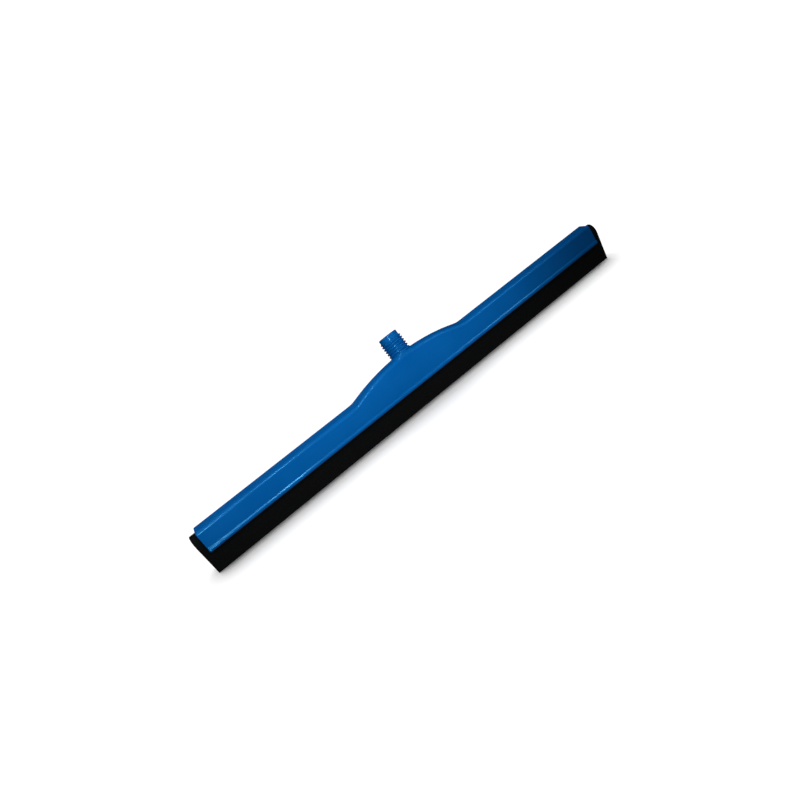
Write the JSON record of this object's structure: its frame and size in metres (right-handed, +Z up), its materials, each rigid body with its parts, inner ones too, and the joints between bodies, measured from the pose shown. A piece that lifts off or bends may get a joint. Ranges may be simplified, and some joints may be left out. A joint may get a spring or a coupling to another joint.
{
  "type": "floor squeegee head",
  "caption": "Straight floor squeegee head: moulded channel holder with arched hub and leaning threaded handle stub, twin cellular-rubber blades clamped by a screwed spreader bar.",
  "frame": {"origin": "middle of the head's footprint, at the height of the blades' tips", "axes": "+X along the blades, -Y to the working front, away from which the handle stub leans, +Z up from the floor"},
  "size_m": [0.55, 0.036, 0.0847],
  "materials": {
    "blue_polypropylene": "semi-gloss injection-moulded polypropylene",
    "cellular_rubber": "matt closed-cell moss rubber with fine open pores on the cut faces",
    "grey_polypropylene": "matt injection-moulded polypropylene",
    "zinc_plated_steel": "bright zinc plating"
  },
  "bodies": {
    "root": {"holder": "blue_polypropylene", "front_blade": "cellular_rubber", "rear_blade": "cellular_rubber", "spreader_bar": "grey_polypropylene", "screw_1": "zinc_plated_steel", "screw_2": "zinc_plated_steel", "screw_3": "zinc_plated_steel", "screw_4": "zinc_plated_steel", "screw_5": "zinc_plated_steel", "screw_6": "zinc_plated_steel", "screw_7": "zinc_plated_steel", "screw_8": "zinc_plated_steel"}
  },
  "joints": []
}
